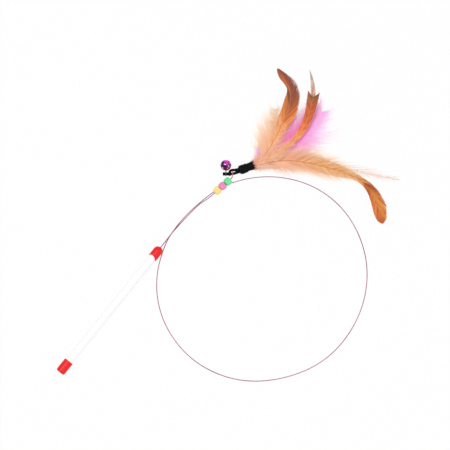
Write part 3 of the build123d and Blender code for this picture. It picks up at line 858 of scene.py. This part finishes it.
feather("left_hackle_barbs", "left_hackle", "brown_feather", LEFT_HACKLE, left_brown,
        fluff=0.0022, **LEFT_VANES, Barbs=800, Seed=3)
feather("middle_hackle_barbs", "middle_hackle", "orange_feather", MIDDLE_HACKLE, middle_orange,
        fluff=0.002, open_tip=True, **MIDDLE_VANES, Barbs=540, Seed=5)
feather("pale_spike_barbs", "pale_spike", "pale_feather", PALE_SPIKE, spike_pale,
        fluff=0.0015, **HACKLE, Barbs=620, Seed=8)
feather("right_hackle_barbs", "right_hackle", "tawny_feather", RIGHT_HACKLE, right_tawny,
        fluff=0.0022, **RIGHT_VANES, Barbs=1300, Seed=11)
feather("pale_wisp_barbs", "pale_wisp", "pale_feather", PALE_WISP, wisp_pale,
        fluff=0.003, **WISPS, Barbs=110, Seed=14)
feather("pink_plume_barbs", "pink_plume", "pink_down", PINK_PLUME, pink_down,
        fluff=0.006, open_tip=True, **PINK_DOWN, Barbs=1250, Seed=17)
feather("peach_plume_left_barbs", "peach_plume_left", "peach_down", PEACH_PLUME_LEFT, peach_down,
        fluff=0.007, open_tip=True, **DOWN, Barbs=640, Seed=20)
feather("peach_plume_low_barbs", "peach_plume_low", "peach_down", PEACH_PLUME_LOW, low_down,
        fluff=0.008, open_tip=True, **DOWN, Barbs=700, Seed=23)
feather("lavender_tuft_barbs", "lavender_tuft", "lavender_down", LAVENDER_TUFT, lavender_down,
        fluff=0.0015, open_tip=True, **SHORT_DOWN, Barbs=140, Seed=26)

# Downy bases of the hackles, over their quills
feather("left_hackle_fluff", "left_hackle", "peach_down", LEFT_BASE, warm_fluff,
        fluff=0.003, open_tip=True, **FLUFF, Barbs=260, Seed=31)
feather("middle_hackle_fluff", "middle_hackle", "peach_down", MIDDLE_BASE, warm_fluff,
        fluff=0.003, open_tip=True, **FLUFF, Barbs=200, Seed=34)
feather("right_hackle_fluff", "right_hackle", "peach_down", RIGHT_BASE, salmon_fluff,
        fluff=0.004, open_tip=True, **LONG_FLUFF, Barbs=1000, Seed=37)
for barb in (hackle_barb, down_barb):
    bpy.data.objects.remove(barb)


def cord_tree():
    """A plaited round cord along a curve."""
    graph, given = geometry_tree(
        "plaited_cord",
        Geometry=["Path"],
        Float=["Radius", "Strands", "Pitch", "Relief", "Step"],
        Material=["Finish"],
    )
    path = graph.node("GeometryNodeResampleCurve", {"mode": "LENGTH"}, {
        "Curve": given["Path"], "Length": given["Step"],
    })
    path = graph.stored(path, "run", graph.node("GeometryNodeSplineParameter", out="Length"))
    ring = graph.node("GeometryNodeCurvePrimitiveCircle", {}, {"Resolution": 24, "Radius": given["Radius"]})
    ring = graph.stored(ring, "turn", graph.node("GeometryNodeSplineParameter"))
    tube = graph.node("GeometryNodeCurveToMesh", {}, {
        "Curve": path, "Profile Curve": ring, "Fill Caps": True,
    })
    turn = graph.read("turn") * given["Strands"] * math.tau
    run = graph.read("run") / given["Pitch"] * math.tau
    weave = graph.maths("SINE", turn + run) * graph.maths("SINE", turn - run)
    lift = graph.scaled(graph.node("GeometryNodeInputNormal"), weave * given["Relief"])
    return graph.finished(given["Finish"], graph.moved(tube, Offset=lift))


def around_axis(side, angle):
    """Unit vector at an angle round a level axis, from one side of it upwards."""
    return side * math.cos(angle) + UPWARD * math.sin(angle)


# Tie cord: its loop, the tail, the knot's turns round the tail, and the end that is tucked into the loop
cord_graph = cord_tree()
cord_finish = material("black_cord", black_cord)
tail_way = heading_vector(CORD_HEADING + 180)
cord_side = heading_vector(CORD_HEADING + 90)
into_binding = binding_axis * CORD_SEAT
far_entry = binding_start + binding_side * LOOP_HALF_GAP
near_entry = binding_start - binding_side * LOOP_HALF_GAP
near_rise = (near_entry - PIVOT).dot(cord_side)
near_corner = near_entry - binding_axis * (near_rise / binding_axis.dot(cord_side))
knot = PIVOT + tail_way * KNOT_ALONG
loop_corner = PIVOT + tail_way * LOOP_CORNER_ALONG + cord_side * LOOP_CORNER_ASIDE
cord_ways = {
    "tie_loop": [near_entry + into_binding, near_corner, knot, loop_corner,
                 far_entry - binding_axis * LOOP_EASE, far_entry + into_binding],
    "tie_tail": [knot + tail_way * station for station in TAIL_STATIONS],
    "tie_knot": [knot + tail_way * (KNOT_START + KNOT_RISE * step)
                 + around_axis(cord_side, step * TWELFTH_TURN) * KNOT_RADIUS for step in range(KNOT_STEPS)],
    "tie_tuck": [binding_start + into_binding, binding_start - binding_axis * TUCK_BEND, PIVOT + TUCK_END],
}
for name, points in cord_ways.items():
    cord_values = {"Radius": CORD_RADII[name], "Finish": cord_finish, **PLAIT}
    piece = grown(nurbs(name, points, order=3), cord_graph, cord_values, ("run", "turn"))
    piece.data.shade_smooth()
    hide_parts("tie_cord")
    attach(piece, "lure")


def fray_tree():
    """Torn strips of tape round a ring, pointing along an axis and spreading outwards."""
    graph, given = geometry_tree(
        "torn_tape",
        Geometry=["Ring"],
        Object=["Strip"],
        Int=["Strips", "Seed"],
        Vector=["Axis", "Centre"],
        Float=["Longest", "Width", "Flare"],
        Material=["Finish"],
    )
    ring = graph.counted(given["Ring"], given["Strips"])
    ring = graph.stored(ring, "root", graph.node("GeometryNodeInputPosition"), kind="FLOAT_VECTOR")
    ring = graph.stored(ring, "around", graph.node("GeometryNodeInputTangent"), kind="FLOAT_VECTOR")
    strips = graph.node("GeometryNodeInstanceOnPoints", {}, {
        "Points": ring, "Instance": graph.strip(given["Strip"], "run"),
    })
    for offset, name in enumerate(("tear", "slant")):
        share = graph.chance(0.0, 1.0, given["Seed"] + offset)
        strips = graph.stored(strips, name, share, domain="INSTANCE")
    strips = graph.realized(strips)

    run, edge, tear, slant = map(graph.read, ("run", "edge", "tear", "slant"))
    root = graph.read("root", "FLOAT_VECTOR")
    around = graph.read("around", "FLOAT_VECTOR")
    outward = graph.vector("NORMALIZE", graph.vector("SUBTRACT", root, given["Centre"]))
    length = given["Longest"] * (SHORTEST_TEAR + (1.0 - SHORTEST_TEAR) * tear * tear) * run
    sideways = given["Width"] * edge * (1.0 - STRIP_TAPER * run) + length * (slant - 0.5)
    spot = graph.vector("ADD", root, graph.scaled(given["Axis"], length))
    spot = graph.vector("ADD", spot, graph.scaled(outward, length * run * given["Flare"] * slant))
    spot = graph.vector("ADD", spot, graph.scaled(around, sideways))
    return graph.finished(given["Finish"], graph.moved(strips, Position=spot))


# Torn edge of the binding, round the mouth where the quills leave it
tape_finish = material("black_tape", black_tape)
tape_strip = mesh_object("tape_strip", *flat_strip())
rim_centre = BINDING_END - binding_axis * RIM_SETBACK
rim_radius = BINDING_RADIUS - RIM_DEPTH
rim_points = [rim_centre + around_axis(binding_side, step * TWELFTH_TURN) * rim_radius
              for step in range(RIM_STEPS)]
fray = grown(nurbs("binding_fray", rim_points, order=3), fray_tree(), {
    "Strip": tape_strip, "Axis": tuple(binding_axis), "Centre": tuple(rim_centre),
    "Finish": tape_finish, **FRAY,
}, ())
bpy.data.objects.remove(tape_strip)
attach(fray, "lure")


def wrapped_tape(centre, axis, side, profile, sides):
    """Rings of a lumpy band round an axis, from (distance along it, radius) pairs, closed at both ends."""
    points = []
    for distance, radius in profile:
        for step in range(sides):
            angle = math.tau * step / sides
            lump = 1.0
            for size, count, drift in WRAP_LUMPS:
                lump += size * math.sin(count * angle + drift * distance)
            points.append(centre + axis * distance + around_axis(side, angle) * (radius * lump))
    faces = []
    for first in range(0, len(points) - sides, sides):
        for step in range(sides):
            after = (step + 1) % sides
            faces.append((first + step, first + after, first + sides + after, first + sides + step))
    faces.append(tuple(reversed(range(sides))))
    faces.append(tuple(range(len(points) - sides, len(points))))
    return points, faces


# Turns of tape that swell the butt of the binding, where the cord goes in
wrap_mesh = wrapped_tape(binding_start, binding_axis, binding_side, WRAP_PROFILE, WRAP_SIDES)
wrap = mesh_object("binding_wrap", *wrap_mesh)
wrap.data.materials.append(tape_finish)
wrap.data.shade_smooth()
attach(wrap, "lure")

# Finishes of the pieces that the CAD model shapes
vinyl = material("red_vinyl", red_vinyl)
painted_reflection_lacquer = material("bell_lacquer", bell_lacquer)
steel = material("tinted_steel", tinted_steel)
finishes = {
    "handle_tube": material("white_tube", white_tube),
    "rear_cap": vinyl,
    "front_cap": vinyl,
    "wire_plug": material("plug_plastic", plug_plastic),
    "wire_root": coat,
    "wire_end": coat,
    "bead_yellow": material("yellow_bead", bead_plastic(tint(254, 216, 100), tint(255, 234, 150))),
    "bead_pink": material("pink_bead", bead_plastic(tint(236, 120, 174), tint(248, 156, 200))),
    "bead_green": material("green_bead", bead_plastic(tint(82, 220, 130), tint(134, 240, 168))),
    "feather_binding": tape_finish,
    "bell_upper": painted_reflection_lacquer,
    "bell_lower": painted_reflection_lacquer,
    "bell_shank": steel,
    "bell_pellet": steel,
}
for node, finish in finishes.items():
    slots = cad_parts[node].data.materials
    slots.clear()
    slots.append(finish)

# Floor, background and light. The background shows white, and the floor keeps a part of the wand's shadow.
FLOOR_REACH = 4.0
FLOOR_GREY = (0.9, 0.9, 0.9, 1.0)
FLOOR_GLOW = 0.95
SKY_LIGHT = 0.62
corners = [(-1, -1), (1, -1), (1, 1), (-1, 1)]
floor = mesh_object("floor", [(FLOOR_REACH * x, FLOOR_REACH * y, FLOOR) for x, y in corners], [(0, 1, 2, 3)])
floor_finish = bpy.data.materials.new("pale_floor")
floor_finish.use_nodes = True
graph = Graph(floor_finish.node_tree)
matt = graph.node("ShaderNodeBsdfDiffuse", {}, {"Color": FLOOR_GREY})
glow = graph.node("ShaderNodeEmission", {}, {"Color": WHITE, "Strength": 1.0})
surface = graph.node("ShaderNodeMixShader", {}, {0: graph.seen() * FLOOR_GLOW, 1: matt, 2: glow})
graph.node("ShaderNodeOutputMaterial", {}, {"Surface": surface})
floor.data.materials.append(floor_finish)

world = bpy.data.worlds.new("studio")
world.use_nodes = True
scene.world = world
graph = Graph(world.node_tree)
strength = SKY_LIGHT + (1.0 - SKY_LIGHT) * graph.seen()
sky = graph.node("ShaderNodeBackground", {}, {"Color": WHITE, "Strength": strength})
graph.node("ShaderNodeOutputWorld", {}, {"Surface": sky})


def softbox(name, right, ahead, above, size, power):
    """A square lamp that stands off the spot the camera looks at, and shines on it."""
    data = bpy.data.lights.new(name, "AREA")
    data.shape = "SQUARE"
    data.size = size
    data.energy = power
    lamp = linked(name, data)
    lamp.location = LOOK_AT + RIGHT * right + AHEAD * ahead + UPWARD * above
    lamp.rotation_euler = (LOOK_AT - lamp.location).to_track_quat("-Z", "Y").to_euler()


softbox("key", right=-0.42, ahead=0.1, above=1.5, size=0.4, power=7.6)
softbox("fill", right=0.9, ahead=-0.4, above=1.2, size=1.2, power=4.0)

scene.view_settings.view_transform = "Standard"
